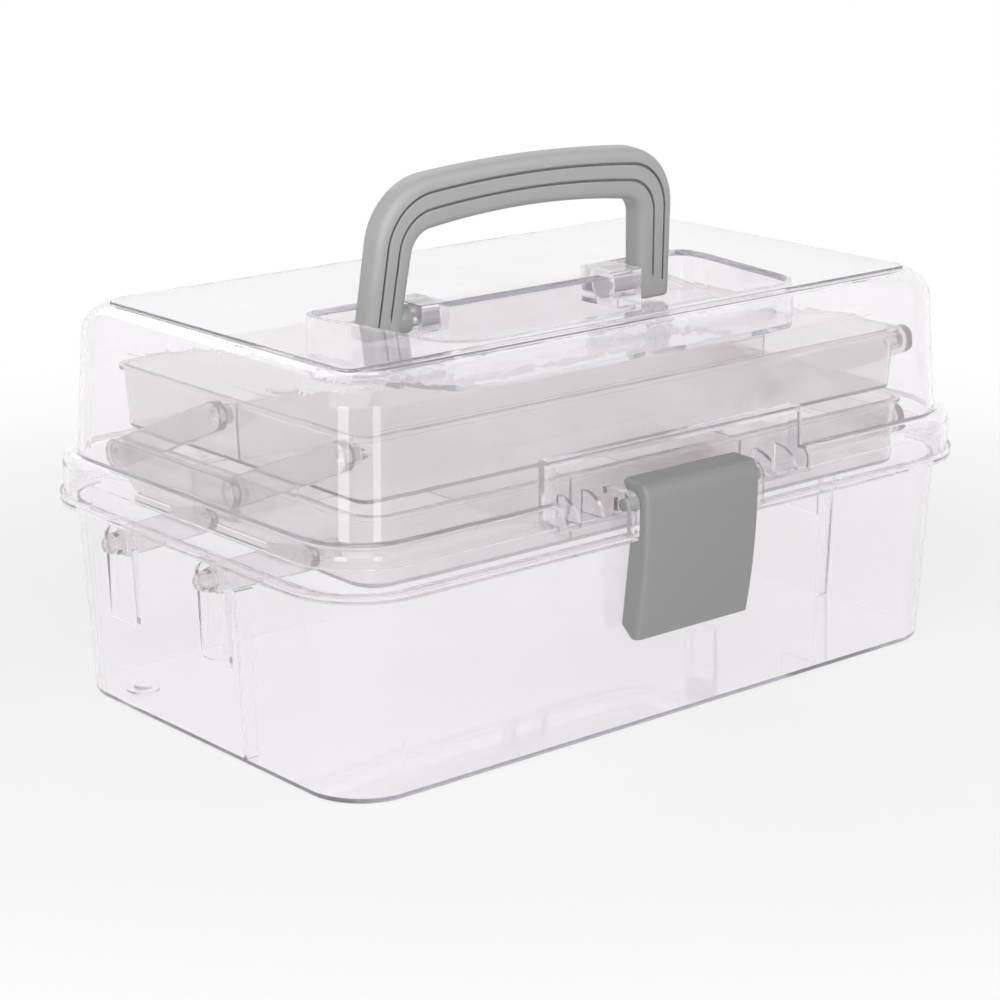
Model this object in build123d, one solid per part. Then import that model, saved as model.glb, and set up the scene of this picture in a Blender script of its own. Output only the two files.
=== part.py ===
from build123d import *
import os
from math import cos, radians, sin, tan

# Clear storage case with a folding carrying handle and two fold-out trays.
# Millimetres. X runs along the long side, the front with the latch is -Y, Z is up.
# The origin is the middle of the tub's underside.

# ---- overall
CASE_LONG = 331.0            # over the rim
CASE_WIDE = 202.0
TUB_HIGH = 78.0              # underside to the rim's lower edge
LID_HIGH = 77.3              # rim's lower edge to the top of the dome

# ---- clearances
RUN_FIT = 0.08               # radial, pin in its own bearing
LOOSE_FIT = 0.30             # radial, pin at a linkage's second end
FACE_GAP = 0.30              # between faces that slide past each other
SEAT_GAP = 0.30              # under a piece that rests on another
SKIRT_GAP = 0.35             # between the lid's skirt and the rim

# ---- tub: tapered box with a lip round the rim and a tongue inside the lid
TUB_WALL = 2.0
TUB_FLOOR = 2.2
FOOT_INSET = 10.2            # from the rim's outside to the tub's, at the foot and at the top
TOP_INSET = 6.6
FOOT_CORNER = 24.0
TUB_FOOT_ROUND = 2.4
RIM_CORNER = 32.0
RIM_WALL = 1.2
RIM_HIGH = 4.2
RIM_ROUND = 1.0
SHELF = 2.0
TONGUE_WALL = 1.6
TONGUE_HIGH = 11.4
TONGUE_BACK = 9.0            # the tongue stops this far ahead of the back corners

# ---- lid: skirt that stands on the rim's shelf, tapered dome, raised top panel
LID_WALL = 2.0
SKIRT_HIGH = 20.4
SKIRT_ROUND = 5.0
DOME_FOOT_INSET = 6.5
DOME_TOP_INSET = 9.5
DOME_FOOT_CORNER = 27.5
DOME_ROUND = 12.5
PANEL_RISE = 0.8
PANEL_MARGIN_X = 0.5
PANEL_MARGIN_Y = 2.7
PANEL_CORNER = 5.0
PANEL_ROUND = 0.5

# ---- handle
HANDLE_Y = 0.5
HANDLE_LEAN = 6.0            # forward, as it stands
HANDLE_DEPTH = 11.5
HANDLE_HEEL = 8.0            # leg below the pivot
HANDLE_HIGH = 58.6           # pivot to the middle of the grip's top
HANDLE_ARCH = 4.6
GRIP_THICK = 19.5
LEG_WIDE = 16.6
HANDLE_LONG = 157.8          # over the heels
LEG_SPLAY = 4.6
HANDLE_OUT_ROUND = 27.0
HANDLE_IN_ROUND = 9.5
HANDLE_EDGE_ROUND = 3.4
HANDLE_PIN_R = 5.5
GROOVE_WIDE = 1.0
GROOVE_DEEP = 0.8
GROOVE_INNER = 0.40          # places of the two grooves across the band
GROOVE_OUTER = 0.72

# ---- well in the lid that takes the folded handle
WELL_BACK_SIDE = 19.0        # free space beside and ahead of the folded handle
WELL_FRONT_SIDE = 9.0
WELL_FRONT = 11.0
WELL_BACK = 1.0
WELL_UNDER = 1.6
WELL_CORNER = 18.0
WELL_BACK_CORNER = 7.0
PIN_ROOF = 1.3
BLOCK_GAP = 5.3              # between a leg and its block
BLOCK_LONG = 14.4
BLOCK_DEEP = 21.0
BLOCK_END = 2.3
BLOCK_UNDER = 2.5

# ---- back hinge
HINGE_GAP_Y = 3.9            # axis behind the rim
HINGE_RISE = 11.5            # axis above the rim
HINGE_PITCH = 184.0
HINGE_PIN_R = 1.5
KNUCKLE_R = 3.7
KNUCKLE_LONG = 15.0
EAR_THICK = 3.0

# ---- latch
LATCH_LONG = 61.6
LATCH_WIDE = 58.2
LATCH_SKIN = 2.3
LATCH_SIDE = 2.2
LATCH_PIN_IN = 2.2           # axis behind the rim's face
LATCH_PIN_R = 2.4
LATCH_BOSS_R = 3.1
LATCH_RISE = 8.7             # top above the axis
LATCH_LIP = 5.2              # the top reaches this far behind the axis
LATCH_OUT = 5.3              # skin ahead of the rim's face
LATCH_FOOT_OUT = 0.8
LATCH_BELLY = 15.5           # foremost place of the skin below the axis
LATCH_ROUND = 6.5
LATCH_EDGE_ROUND = 1.8
NICHE_SIDE = 1.0             # free space beside the latch in the rim's niche
CATCH_DROP = 0.9             # top of the catch below the rim's lower edge

# ---- latch window in the lid, its hooks and ribs
WINDOW_SIDE = 34.0           # beyond the latch
WINDOW_DEEP = 13.0           # behind the rim's face
LEDGE_RISE = 12.0            # above the rim's lower edge
WINDOW_HIGH = 21.2
HOOK_GAP = 1.4
HOOK_THICK = 4.0
HOOK_WALL = 2.4
HOOK_TIP = 11.5              # tip below the axis
RIB_THICK = 1.8
RIB_PITCH = 12.0
RIB_RISE = 8.6

# ---- trays
TRAY_WALL = 1.6
TRAY_FLOOR = 1.8
TRAY_DRAFT = 0.05
TRAY_FLANGE = 1.8
DIVIDER = 1.5
DIVIDER_DROP = 2.0
LOWER_END_SPACE = 24.7       # rim's outside to the tray's, at the ends, front and back
LOWER_FRONT_SPACE = 18.0
LOWER_BACK_SPACE = 23.0
LOWER_TRAY_SINK = 1.8        # floor below the rim's lower edge
LOWER_TRAY_HIGH = 27.0
LOWER_TRAY_CORNER = 13.0
UPPER_END_SPACE = 25.9
UPPER_FRONT_SPACE = 22.0
UPPER_BACK_SPACE = 24.0
TRAY_SPACE = 3.0
UPPER_TRAY_HIGH = 25.0
UPPER_TRAY_CORNER = 8.0
CROSS_DIVIDER_X = 44.0
LOWER_DIVIDER_Y = 22.0
UPPER_DIVIDER_Y = -3.0

# ---- linkage at each end
ARM_R = 5.75
LOW_PIVOT_DROP = 10.0        # below the rim's lower edge
LOW_BACK_SPACE = 50.5        # rim's outside to the back arm's wall pivot
LOW_TRAY_IN = 20.6           # lower tray's front to the front arm's tray pivot
LOW_ARM_LONG = 56.0
LOW_ARM_LEAN = 22.0
HIGH_PIVOT_DROP = 4.0        # below the lower tray's top
HIGH_BACK_SPACE = 38.0
HIGH_TRAY_IN = 6.75
HIGH_ARM_LONG = 66.0
HIGH_ARM_LEAN = 23.0
ARM_SIDE_GAP = 0.4
HIGH_ARM_THICK = 4.0
BAR_THICK = 3.5
LOW_ARM_THICK = 3.8
ARM_PIN_R = 2.4
TRAY_PIN_R = 2.0
PAD_R = 3.8
STALK_R = 3.7
WALL_PIN_R = 3.1
COLLAR_R = 4.7
COLLAR_LONG = 3.4
HEAD_LONG = 2.6
POCKET_R = 7.3
POCKET_BORDER = 2.0
POCKET_DROP = 31.8
ARM_STOP_AHEAD = 15.7
ARM_STOP_THICK = 2.2
ARM_EDGE = 0.4

# ---- moulded marks in the back corners of the floor
MARK_SIDE = 15.3
MARK_BACK = 28.8
MARK_R = 6.6
MARK_STEP = 0.8
MARK_BOSS_R = 3.7
MARK_BOSS = 2.2

# ---- sizes that follow from the ones above
RIM_X = CASE_LONG / 2
RIM_Y = CASE_WIDE / 2
RIM_LOW = TUB_HIGH
RIM_TOP = RIM_LOW + RIM_HIGH
SHELF_TOP = RIM_LOW + SHELF
SKIRT_INSET = RIM_WALL + SKIRT_GAP
TONGUE_INSET = SKIRT_INSET + LID_WALL + SKIRT_GAP
SKIRT_LOW = SHELF_TOP + SEAT_GAP
SKIRT_TOP = RIM_LOW + SKIRT_HIGH
DOME_TOP = RIM_LOW + LID_HIGH
PANEL_TOP = DOME_TOP + PANEL_RISE
HINGE_Y = RIM_Y + HINGE_GAP_Y
HINGE_Z = RIM_TOP + HINGE_RISE
HANDLE_X = HANDLE_LONG / 2
HANDLE_PIVOT_Z = PANEL_TOP - PIN_ROOF - HANDLE_PIN_R - RUN_FIT
LEG_IN_X = HANDLE_X - LEG_WIDE
PLATEAU_X = LEG_IN_X - BLOCK_GAP
BLOCK_IN_X = PLATEAU_X - BLOCK_LONG
WELL_FLOOR_TOP = HANDLE_PIVOT_Z - HANDLE_HEEL - WELL_UNDER
LEDGE_TOP = RIM_LOW + LEDGE_RISE
WINDOW_Y = RIM_Y - WINDOW_DEEP
WINDOW_TOP = LEDGE_TOP + WINDOW_HIGH
LATCH_X = LATCH_WIDE / 2
WINDOW_X = LATCH_X + WINDOW_SIDE
LATCH_PIN_Y = LATCH_PIN_IN - RIM_Y
LATCH_PIN_Z = LEDGE_TOP + SEAT_GAP + LATCH_PIN_R
LATCH_TOP_Z = LATCH_PIN_Z + LATCH_RISE
NICHE_X = LATCH_X + NICHE_SIDE
NICHE_Y = RIM_Y - TONGUE_INSET
LOWER_TRAY_X = RIM_X - LOWER_END_SPACE
LOWER_TRAY_FRONT = LOWER_FRONT_SPACE - RIM_Y
LOWER_TRAY_BACK = RIM_Y - LOWER_BACK_SPACE
LOWER_TRAY_Z = RIM_LOW - LOWER_TRAY_SINK
LOWER_TRAY_TOP = LOWER_TRAY_Z + LOWER_TRAY_HIGH
UPPER_TRAY_X = RIM_X - UPPER_END_SPACE
UPPER_TRAY_FRONT = UPPER_FRONT_SPACE - RIM_Y
UPPER_TRAY_BACK = RIM_Y - UPPER_BACK_SPACE
UPPER_TRAY_Z = LOWER_TRAY_TOP + TRAY_SPACE
UPPER_TRAY_TOP = UPPER_TRAY_Z + UPPER_TRAY_HIGH
LOW_PIVOT_Z = RIM_LOW - LOW_PIVOT_DROP
LOW_BACK_Y = RIM_Y - LOW_BACK_SPACE
LOW_FRONT_Y = LOWER_TRAY_FRONT + LOW_TRAY_IN + LOW_ARM_LONG * cos(radians(LOW_ARM_LEAN))
HIGH_PIVOT_Z = LOWER_TRAY_TOP - HIGH_PIVOT_DROP
HIGH_BACK_Y = RIM_Y - HIGH_BACK_SPACE
HIGH_FRONT_Y = UPPER_TRAY_FRONT + HIGH_TRAY_IN + HIGH_ARM_LONG * cos(radians(HIGH_ARM_LEAN))
HIGH_ARM_X = LOWER_TRAY_X + ARM_SIDE_GAP
BAR_X = HIGH_ARM_X + HIGH_ARM_THICK + FACE_GAP
LOW_ARM_X = BAR_X + BAR_THICK + FACE_GAP
PAD_X = LOW_ARM_X + LOW_ARM_THICK + FACE_GAP
POCKET_LOW = LOW_PIVOT_Z - POCKET_DROP
POCKET_X = RIM_X - FOOT_INSET + (FOOT_INSET - TOP_INSET) * POCKET_LOW / SHELF_TOP
OVER = 5.0                   # how far cutting shapes run past what they cut


def slab(half_x, half_y, corner, low, high):
    """Upright block with rounded corners."""
    return extrude(Pos(0, 0, low) * RectangleRounded(2 * half_x, 2 * half_y, corner), high - low)


def tapered(foot, head):
    """Block between two rounded rectangles, each (half x, half y, corner, height)."""
    faces = [(Pos(0, 0, z) * RectangleRounded(2 * x, 2 * y, r)).face() for x, y, r, z in (foot, head)]
    return loft(faces, ruled=True)


def block(x0, x1, y0, y1, z0, z1):
    """Box between two corners."""
    return Pos(x0, y0, z0) * Box(x1 - x0, y1 - y0, z1 - z0, align=(Align.MIN, Align.MIN, Align.MIN))


def along_x(profile, x0, x1):
    """A profile in Y and Z, drawn out along X."""
    return extrude(Plane.YZ.offset(x0) * profile, x1 - x0)


def rod(y, z, radius, x0, x1):
    """Round bar along X."""
    return along_x(Pos(y, z) * Circle(radius), x0, x1)


def at_left(piece):
    """The same piece at the -X end."""
    return mirror(piece, about=Plane.YZ)


def both_ends(piece):
    """A piece and its mirror image at the other end of the case."""
    return piece + at_left(piece)


def tub_block(inset):
    """The tub's outside, or with an inset its inside."""
    foot = FOOT_INSET + inset
    head = TOP_INSET + inset
    return tapered(
        (RIM_X - foot, RIM_Y - foot, FOOT_CORNER - inset, 0),
        (RIM_X - head, RIM_Y - head, RIM_CORNER - head, SHELF_TOP),
    )


def tub_face_y(z):
    """Distance of the tub's front face from the middle, at a height."""
    return RIM_Y - FOOT_INSET + (FOOT_INSET - TOP_INSET) * z / SHELF_TOP


def tombstone(y, radius):
    """Arched outline round a wall pivot, in Y and Z."""
    shaft = Rectangle(2 * radius, LOW_PIVOT_Z - POCKET_LOW)
    return Pos(y, LOW_PIVOT_Z) * Circle(radius) + Pos(y, (LOW_PIVOT_Z + POCKET_LOW) / 2) * shaft


def arm_underside(y):
    """Height of the front lower arm's lower edge."""
    lean = radians(LOW_ARM_LEAN)
    return LOW_PIVOT_Z + (LOW_FRONT_Y - y) * tan(lean) - ARM_R / cos(lean)


def add_tub_end(tub):
    """Pivot pockets, bores and arm stop in the end wall at +X."""
    outside = tub_block(0)
    stop_back = LOW_FRONT_Y - ARM_STOP_AHEAD + ARM_STOP_THICK / 2
    stop_top = arm_underside(stop_back) - SEAT_GAP
    added = block(
        LOW_ARM_X - 3 * FACE_GAP, RIM_X, stop_back - ARM_STOP_THICK, stop_back, TUB_FLOOR, stop_top
    )
    for y in (LOW_BACK_Y, LOW_FRONT_Y):
        added += along_x(tombstone(y, POCKET_R + POCKET_BORDER), PAD_X, RIM_X)
    tub += added & outside
    for y in (LOW_BACK_Y, LOW_FRONT_Y):
        tub -= along_x(tombstone(y, POCKET_R), POCKET_X, RIM_X)
        tub -= rod(y, LOW_PIVOT_Z, WALL_PIN_R + RUN_FIT, PAD_X - OVER, POCKET_X + OVER)
    return tub


def hinge_ear(x):
    """Upright ear on the back of the rim that holds the hinge pin."""
    root = Pos(RIM_Y - RIM_WALL / 2, RIM_TOP - RIM_HIGH / 2) * Rectangle(RIM_WALL, RIM_HIGH - 2 * RIM_ROUND)
    profile = make_hull((Pos(HINGE_Y, HINGE_Z) * Circle(KNUCKLE_R) + root).edges())
    return along_x(profile, x - EAR_THICK / 2, x + EAR_THICK / 2)


def hinge_places():
    """Middles of the two back hinges along X."""
    return (-HINGE_PITCH / 2, HINGE_PITCH / 2)


def rim_slab(inset, low, high):
    """Block that follows the rim's outline from an inset inwards."""
    return slab(RIM_X - inset, RIM_Y - inset, RIM_CORNER - inset, low, high)


def make_rim():
    """Lip with its shelf, and the tongue that stands inside the lid's skirt."""
    rim = rim_slab(0, RIM_LOW, RIM_TOP)
    rim = fillet(rim.faces().sort_by(Axis.Z)[0].edges(), RIM_ROUND)
    rim -= rim_slab(RIM_WALL, SHELF_TOP, RIM_TOP + OVER)
    tongue = rim_slab(TONGUE_INSET, RIM_LOW + RIM_ROUND, RIM_LOW + TONGUE_HIGH)
    tongue -= rim_slab(TONGUE_INSET + TONGUE_WALL, RIM_LOW, RIM_LOW + TONGUE_HIGH + OVER)
    back = RIM_Y - RIM_CORNER - TONGUE_BACK
    tongue -= block(-RIM_X, RIM_X, back, RIM_Y, RIM_LOW, RIM_LOW + TONGUE_HIGH + OVER)
    half = WINDOW_X + LID_WALL + SKIRT_GAP
    low = LEDGE_TOP - LID_WALL - SEAT_GAP
    tongue -= block(-half, half, -RIM_Y, -WINDOW_Y, low, RIM_LOW + TONGUE_HIGH + OVER)
    return rim + tongue - block(-NICHE_X, NICHE_X, -RIM_Y - OVER, -NICHE_Y, RIM_LOW - OVER, RIM_TOP + OVER)


def make_tub():
    """Tub with its rim, pivot pockets, arm stops, hinge ears and floor marks."""
    tub = tub_block(0)
    tub = fillet(tub.faces().sort_by(Axis.Z)[0].edges(), TUB_FOOT_ROUND)
    tub += make_rim()
    cavity = tub_block(TUB_WALL) - slab(RIM_X, RIM_Y, FOOT_CORNER, -OVER, TUB_FLOOR)
    tub = add_tub_end(tub - cavity)
    tub = at_left(add_tub_end(at_left(tub)))
    reach = (KNUCKLE_LONG + EAR_THICK) / 2 + FACE_GAP
    for x in hinge_places():
        tub += hinge_ear(x - reach) + hinge_ear(x + reach)
        tub -= rod(HINGE_Y, HINGE_Z, HINGE_PIN_R, x - 2 * reach, x + 2 * reach)
    mark_x = RIM_X - FOOT_INSET - MARK_SIDE
    mark_y = RIM_Y - FOOT_INSET - MARK_BACK
    mark = Pos(mark_x, mark_y, TUB_FLOOR + MARK_STEP / 2) * Cylinder(MARK_R, MARK_STEP)
    mark += Pos(mark_x, mark_y, TUB_FLOOR + MARK_BOSS / 2) * Cylinder(MARK_BOSS_R, MARK_BOSS)
    return tub + both_ends(mark)


def dome_block(inset):
    """The dome's outside, or with an inset its inside."""
    foot = DOME_FOOT_INSET + inset
    head = DOME_TOP_INSET + inset
    dome = tapered(
        (RIM_X - foot, RIM_Y - foot, DOME_FOOT_CORNER - inset, SKIRT_TOP - 2 * LID_WALL),
        (RIM_X - head, RIM_Y - head, DOME_FOOT_CORNER - inset, DOME_TOP - inset),
    )
    return fillet(dome.faces().sort_by(Axis.Z)[-1].edges(), DOME_ROUND - inset)


def skirt_block(inset):
    """The skirt's outside, or with an inset its inside."""
    skirt = rim_slab(SKIRT_INSET + inset, SKIRT_LOW, SKIRT_TOP - inset)
    return fillet(skirt.faces().sort_by(Axis.Z)[-1].edges(), SKIRT_ROUND - inset)


def well_outline(grow):
    """Plan of the handle's well, made larger all round by grow."""
    half_back = HANDLE_X + WELL_BACK_SIDE + grow
    half_front = HANDLE_X + WELL_FRONT_SIDE + grow
    front = HANDLE_Y - HANDLE_HIGH - WELL_FRONT - grow
    back = HANDLE_Y + HANDLE_HEEL + WELL_BACK + grow
    bend = HANDLE_Y - HANDLE_DEPTH / 2
    corners = [
        (half_back, back), (half_back, bend), (half_front, front),
        (-half_front, front), (-half_back, bend), (-half_back, back),
    ]
    outline = make_face(Polyline(*corners, close=True))
    outline = fillet(outline.vertices().group_by(Axis.Y)[0], WELL_CORNER + grow)
    outline = fillet(outline.vertices().group_by(Axis.Y)[-1], WELL_BACK_CORNER + grow)
    plateau_front = HANDLE_Y - BLOCK_DEEP / 2 + grow
    deep = back - plateau_front
    return outline - Pos(0, plateau_front + deep / 2) * Rectangle(2 * (PLATEAU_X - grow), deep)


def hook_profile():
    """Arched hook over the latch pin, in Y and Z."""
    bore = LATCH_PIN_R + RUN_FIT
    outer = bore + HOOK_WALL
    y, z = LATCH_PIN_Y, LATCH_PIN_Z
    wall_y = LID_WALL / 2 - WINDOW_Y
    arm_low = z + bore
    arm = Pos((y + wall_y) / 2, (arm_low + z + outer) / 2) * Rectangle(wall_y - y, z + outer - arm_low)
    arch = Circle(outer) & Pos(0, outer / 2) * Rectangle(2 * outer, outer)
    front = Pos(y - bore - HOOK_WALL / 2, z - HOOK_TIP / 2) * Rectangle(HOOK_WALL, HOOK_TIP)
    drop = z - LEDGE_TOP + LID_WALL / 2
    back = Pos(y + bore + HOOK_WALL / 2, z - drop / 2) * Rectangle(HOOK_WALL, drop)
    return arm + Pos(y, z) * arch + front + back - Pos(y, z) * Circle(bore)


def rib_profile():
    """Quarter-round stiffening rib on the window's ledge, in Y and Z."""
    deep = WINDOW_DEEP - SKIRT_INSET - FACE_GAP
    quarter = Ellipse(deep, RIB_RISE) & Pos(-deep / 2, RIB_RISE / 2) * Rectangle(deep, RIB_RISE)
    return Pos(-WINDOW_Y, LEDGE_TOP) * quarter


def add_window(lid, outside):
    """Recess in the lid's front for the latch, with its ledge, hooks and ribs."""
    half = WINDOW_X + LID_WALL
    low = LEDGE_TOP - LID_WALL
    lid += outside & block(-half, half, -RIM_Y, LID_WALL - WINDOW_Y, low, WINDOW_TOP + LID_WALL)
    lid -= block(-WINDOW_X, WINDOW_X, -RIM_Y - OVER, -WINDOW_Y, LEDGE_TOP, WINDOW_TOP)
    ledge_y = -NICHE_Y + LID_WALL
    lid -= block(-NICHE_X, NICHE_X, -RIM_Y, ledge_y, SKIRT_LOW - OVER, LEDGE_TOP + LID_WALL)
    hook_x = LATCH_X + HOOK_GAP
    fins = along_x(hook_profile(), hook_x, hook_x + HOOK_THICK)
    for turn in (1, 2):
        x = hook_x + HOOK_THICK / 2 + turn * RIB_PITCH
        fins += along_x(rib_profile(), x - RIB_THICK / 2, x + RIB_THICK / 2)
    return lid + both_ends(fins)


def top_panel():
    """Raised panel on the dome."""
    half_x = RIM_X - DOME_TOP_INSET - DOME_ROUND - PANEL_MARGIN_X
    half_y = RIM_Y - DOME_TOP_INSET - DOME_ROUND - PANEL_MARGIN_Y
    panel = slab(half_x, half_y, PANEL_CORNER, DOME_TOP - LID_WALL, PANEL_TOP)
    return fillet(panel.faces().sort_by(Axis.Z)[-1].edges(), PANEL_ROUND)


def add_well(lid):
    """Well for the folded handle, with the two blocks that carry its pins."""
    low = WELL_FLOOR_TOP - LID_WALL
    lid += extrude(Pos(0, 0, low) * well_outline(LID_WALL), DOME_TOP - low)
    lid -= extrude(Pos(0, 0, WELL_FLOOR_TOP) * well_outline(0), PANEL_TOP - WELL_FLOOR_TOP + OVER)
    half = BLOCK_DEEP / 2
    bottom = HANDLE_PIVOT_Z - HANDLE_PIN_R - BLOCK_UNDER
    lid += both_ends(block(BLOCK_IN_X, PLATEAU_X, HANDLE_Y - half, HANDLE_Y + half, bottom, DOME_TOP))
    bore = rod(HANDLE_Y, HANDLE_PIVOT_Z, HANDLE_PIN_R + RUN_FIT, BLOCK_IN_X + BLOCK_END, PLATEAU_X + OVER)
    return lid - both_ends(bore)


def make_lid():
    """Lid with its dome, handle well, pivot blocks, latch window and hinge knuckles."""
    outside = dome_block(0) + skirt_block(0)
    lid = outside + top_panel() - dome_block(LID_WALL) - skirt_block(LID_WALL)
    lid = add_window(add_well(lid), outside)
    half = KNUCKLE_LONG / 2
    skirt_y = RIM_Y - SKIRT_INSET - LID_WALL / 2
    for x in hinge_places():
        lid += block(x - half, x + half, skirt_y, HINGE_Y, HINGE_Z - LID_WALL, HINGE_Z + LID_WALL)
        lid += rod(HINGE_Y, HINGE_Z, KNUCKLE_R, x - half, x + half)
        lid -= rod(HINGE_Y, HINGE_Z, HINGE_PIN_R + RUN_FIT, x - half - OVER, x + half + OVER)
    return lid


def make_hinge_pin(x):
    """Plain pin through two ears and the knuckle between them."""
    half = KNUCKLE_LONG / 2 + FACE_GAP + EAR_THICK
    pin = rod(HINGE_Y, HINGE_Z, HINGE_PIN_R, x - half, x + half)
    return chamfer(pin.faces().filter_by(Axis.X).edges(), HINGE_PIN_R / 5)


def bail_area(side, top, corner):
    """Area under the handle's outer line, drawn in by side and top, in X and Z."""
    half = HANDLE_X - side
    shoulder = half - LEG_SPLAY
    peak = HANDLE_PIVOT_Z + HANDLE_HIGH - top
    bend = peak - HANDLE_ARCH
    low = HANDLE_PIVOT_Z - HANDLE_HEEL
    arch = ThreePointArc((-shoulder, bend), (0, peak), (shoulder, bend))
    legs = Polyline((shoulder, bend), (half, low), (-half, low), (-shoulder, bend))
    area = make_face(arch + legs)
    return fillet(area.vertices().group_by(Axis.Y)[-1], corner)


def groove_band(share):
    """Thin band that runs along the handle at a share of its width from the inside."""
    side = LEG_WIDE * (1 - share)
    top = GRIP_THICK * (1 - share)
    corner = HANDLE_IN_ROUND + (HANDLE_OUT_ROUND - HANDLE_IN_ROUND) * share
    half = GROOVE_WIDE / 2
    outer = bail_area(side - half, top - half, corner + half)
    inner = bail_area(side + half, top + half, corner - half)
    below = Pos(0, HANDLE_PIVOT_Z - HANDLE_HEEL) * Rectangle(2 * HANDLE_X, 2 * HANDLE_HEEL)
    return outer - inner - below


def make_handle():
    """Folding handle with two grooves on each face and two inward pins."""
    band = bail_area(0, 0, HANDLE_OUT_ROUND) - bail_area(LEG_WIDE, GRIP_THICK, HANDLE_IN_ROUND)
    front = Plane.XZ.offset(HANDLE_DEPTH / 2 - HANDLE_Y)
    back = Plane.XZ.offset(-HANDLE_DEPTH / 2 - HANDLE_Y)
    handle = extrude(back * band, HANDLE_DEPTH)
    faces = handle.faces().sort_by(Axis.Y)
    handle = fillet(faces[0].edges() + faces[-1].edges(), HANDLE_EDGE_ROUND)
    for share in (GROOVE_INNER, GROOVE_OUTER):
        handle -= extrude(front * groove_band(share), -GROOVE_DEEP)
        handle -= extrude(back * groove_band(share), GROOVE_DEEP)
    tip = BLOCK_IN_X + BLOCK_END + FACE_GAP
    handle += both_ends(rod(HANDLE_Y, HANDLE_PIVOT_Z, HANDLE_PIN_R, tip, LEG_IN_X + LEG_WIDE / 2))
    return handle.rotate(Axis((0, HANDLE_Y, HANDLE_PIVOT_Z), (1, 0, 0)), HANDLE_LEAN)


def latch_area(inset):
    """Space behind the latch's skin, in Y and Z, open towards the case."""
    top = LATCH_TOP_Z - inset
    front = inset - RIM_Y - LATCH_OUT
    low = LATCH_TOP_Z - LATCH_LONG
    corner = (front, top - LATCH_SKIN / 4)
    foot = (inset - RIM_Y - LATCH_FOOT_OUT, low)
    face = ThreePointArc(corner, (front, LATCH_PIN_Z - LATCH_BELLY), foot)
    rest = Polyline(foot, (-WINDOW_Y, low), (-WINDOW_Y, top), corner)
    area = make_face(face + rest)
    return fillet(area.vertices().sort_by_distance(corner)[0], LATCH_ROUND - inset)


def cheek_y(z):
    """How deep the latch's cheeks may reach at a height, clear of the tub and of the rim."""
    swing = ((HINGE_Y + NICHE_Y) ** 2 + (HINGE_Z - RIM_LOW) ** 2) ** 0.5 + FACE_GAP
    past_rim = HINGE_Y - (swing**2 - (HINGE_Z - z) ** 2) ** 0.5
    return min(past_rim, -tub_face_y(z) - 2 * FACE_GAP)


def latch_side():
    """Outline of the latch's side cheeks, in Y and Z."""
    low = LATCH_TOP_Z - LATCH_LONG
    catch_z = RIM_LOW - CATCH_DROP
    heel_z = low + 2 * LATCH_SKIN
    middle_z = (catch_z + heel_z) / 2
    far_y = -RIM_Y - 3 * LATCH_OUT
    lip_y = LATCH_PIN_Y + LATCH_LIP
    outline = Polyline(
        (far_y, low),
        (-RIM_Y + LATCH_SKIN, low),
        (cheek_y(heel_z), heel_z),
        (cheek_y(middle_z), middle_z),
        (cheek_y(catch_z), catch_z),
        (-RIM_Y - 2 * FACE_GAP, catch_z + LATCH_SKIN / 2),
        (-RIM_Y - 4 * FACE_GAP, LATCH_PIN_Z - LATCH_BOSS_R),
        (LATCH_PIN_Y, LATCH_PIN_Z - LATCH_BOSS_R / 3),
        (lip_y, LATCH_TOP_Z - LATCH_SKIN),
        (lip_y, LATCH_TOP_Z + OVER),
        (far_y, LATCH_TOP_Z + OVER),
        close=True,
    )
    return make_face(outline) & latch_area(0)


def make_latch():
    """Latch with its curved skin, cheeks and two pivot pins."""
    latch = along_x(latch_side(), -LATCH_X, LATCH_X)
    ends = latch.faces().sort_by(Axis.X)
    skin_y = -RIM_Y - LATCH_OUT / 2
    skin_z = LATCH_TOP_Z - LATCH_EDGE_ROUND / 2
    rims = (ends[0].edges() + ends[-1].edges()).filter_by(
        lambda edge: edge.center().Y < skin_y or edge.center().Z > skin_z
    )
    latch = fillet(rims, LATCH_EDGE_ROUND)
    inner = LATCH_X - LATCH_SIDE
    latch -= along_x(latch_area(LATCH_SKIN), -inner, inner)
    pin = rod(LATCH_PIN_Y, LATCH_PIN_Z, LATCH_PIN_R, inner, LATCH_X + HOOK_GAP + HOOK_THICK)
    pin += rod(LATCH_PIN_Y, LATCH_PIN_Z, LATCH_BOSS_R, inner, LATCH_X)
    return latch + both_ends(pin)


def tray_shell(half_x, front, back, corner, low, top):
    """Open tray with tapered walls and a small flange round its rim."""
    half_y = (back - front) / 2
    narrow = TRAY_DRAFT * (top - low)
    wall_x = half_x - TRAY_FLANGE
    wall_y = half_y - TRAY_FLANGE
    foot = (wall_x - narrow, wall_y - narrow, corner - TRAY_FLANGE, low)
    head = (wall_x, wall_y, corner - TRAY_FLANGE, top)
    inner_foot = (foot[0] - TRAY_WALL, foot[1] - TRAY_WALL, foot[2] - TRAY_WALL, low)
    inner_head = (head[0] - TRAY_WALL, head[1] - TRAY_WALL, head[2] - TRAY_WALL, top)
    body = tapered(foot, head)
    body = fillet(body.faces().sort_by(Axis.Z)[0].edges(), TRAY_FLOOR)
    flange = slab(half_x, half_y, corner, top - TRAY_WALL, top)
    inside = tapered(inner_foot, inner_head) - slab(half_x, half_y, corner, low - OVER, low + TRAY_FLOOR)
    return Pos(0, (front + back) / 2, 0) * (body + flange - inside)


def tray_wall_x(half_x, top, z):
    """Outer face of a tray's end wall at a height."""
    return half_x - TRAY_FLANGE - TRAY_DRAFT * (top - z)


def bearing(y, z, radius, hole, wall_x, x1):
    """Pin bearing that stands out from a tray's end wall, and its hole."""
    return rod(y, z, radius, wall_x - TRAY_WALL / 2, x1), rod(y, z, hole, wall_x - OVER, x1 + OVER)


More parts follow.
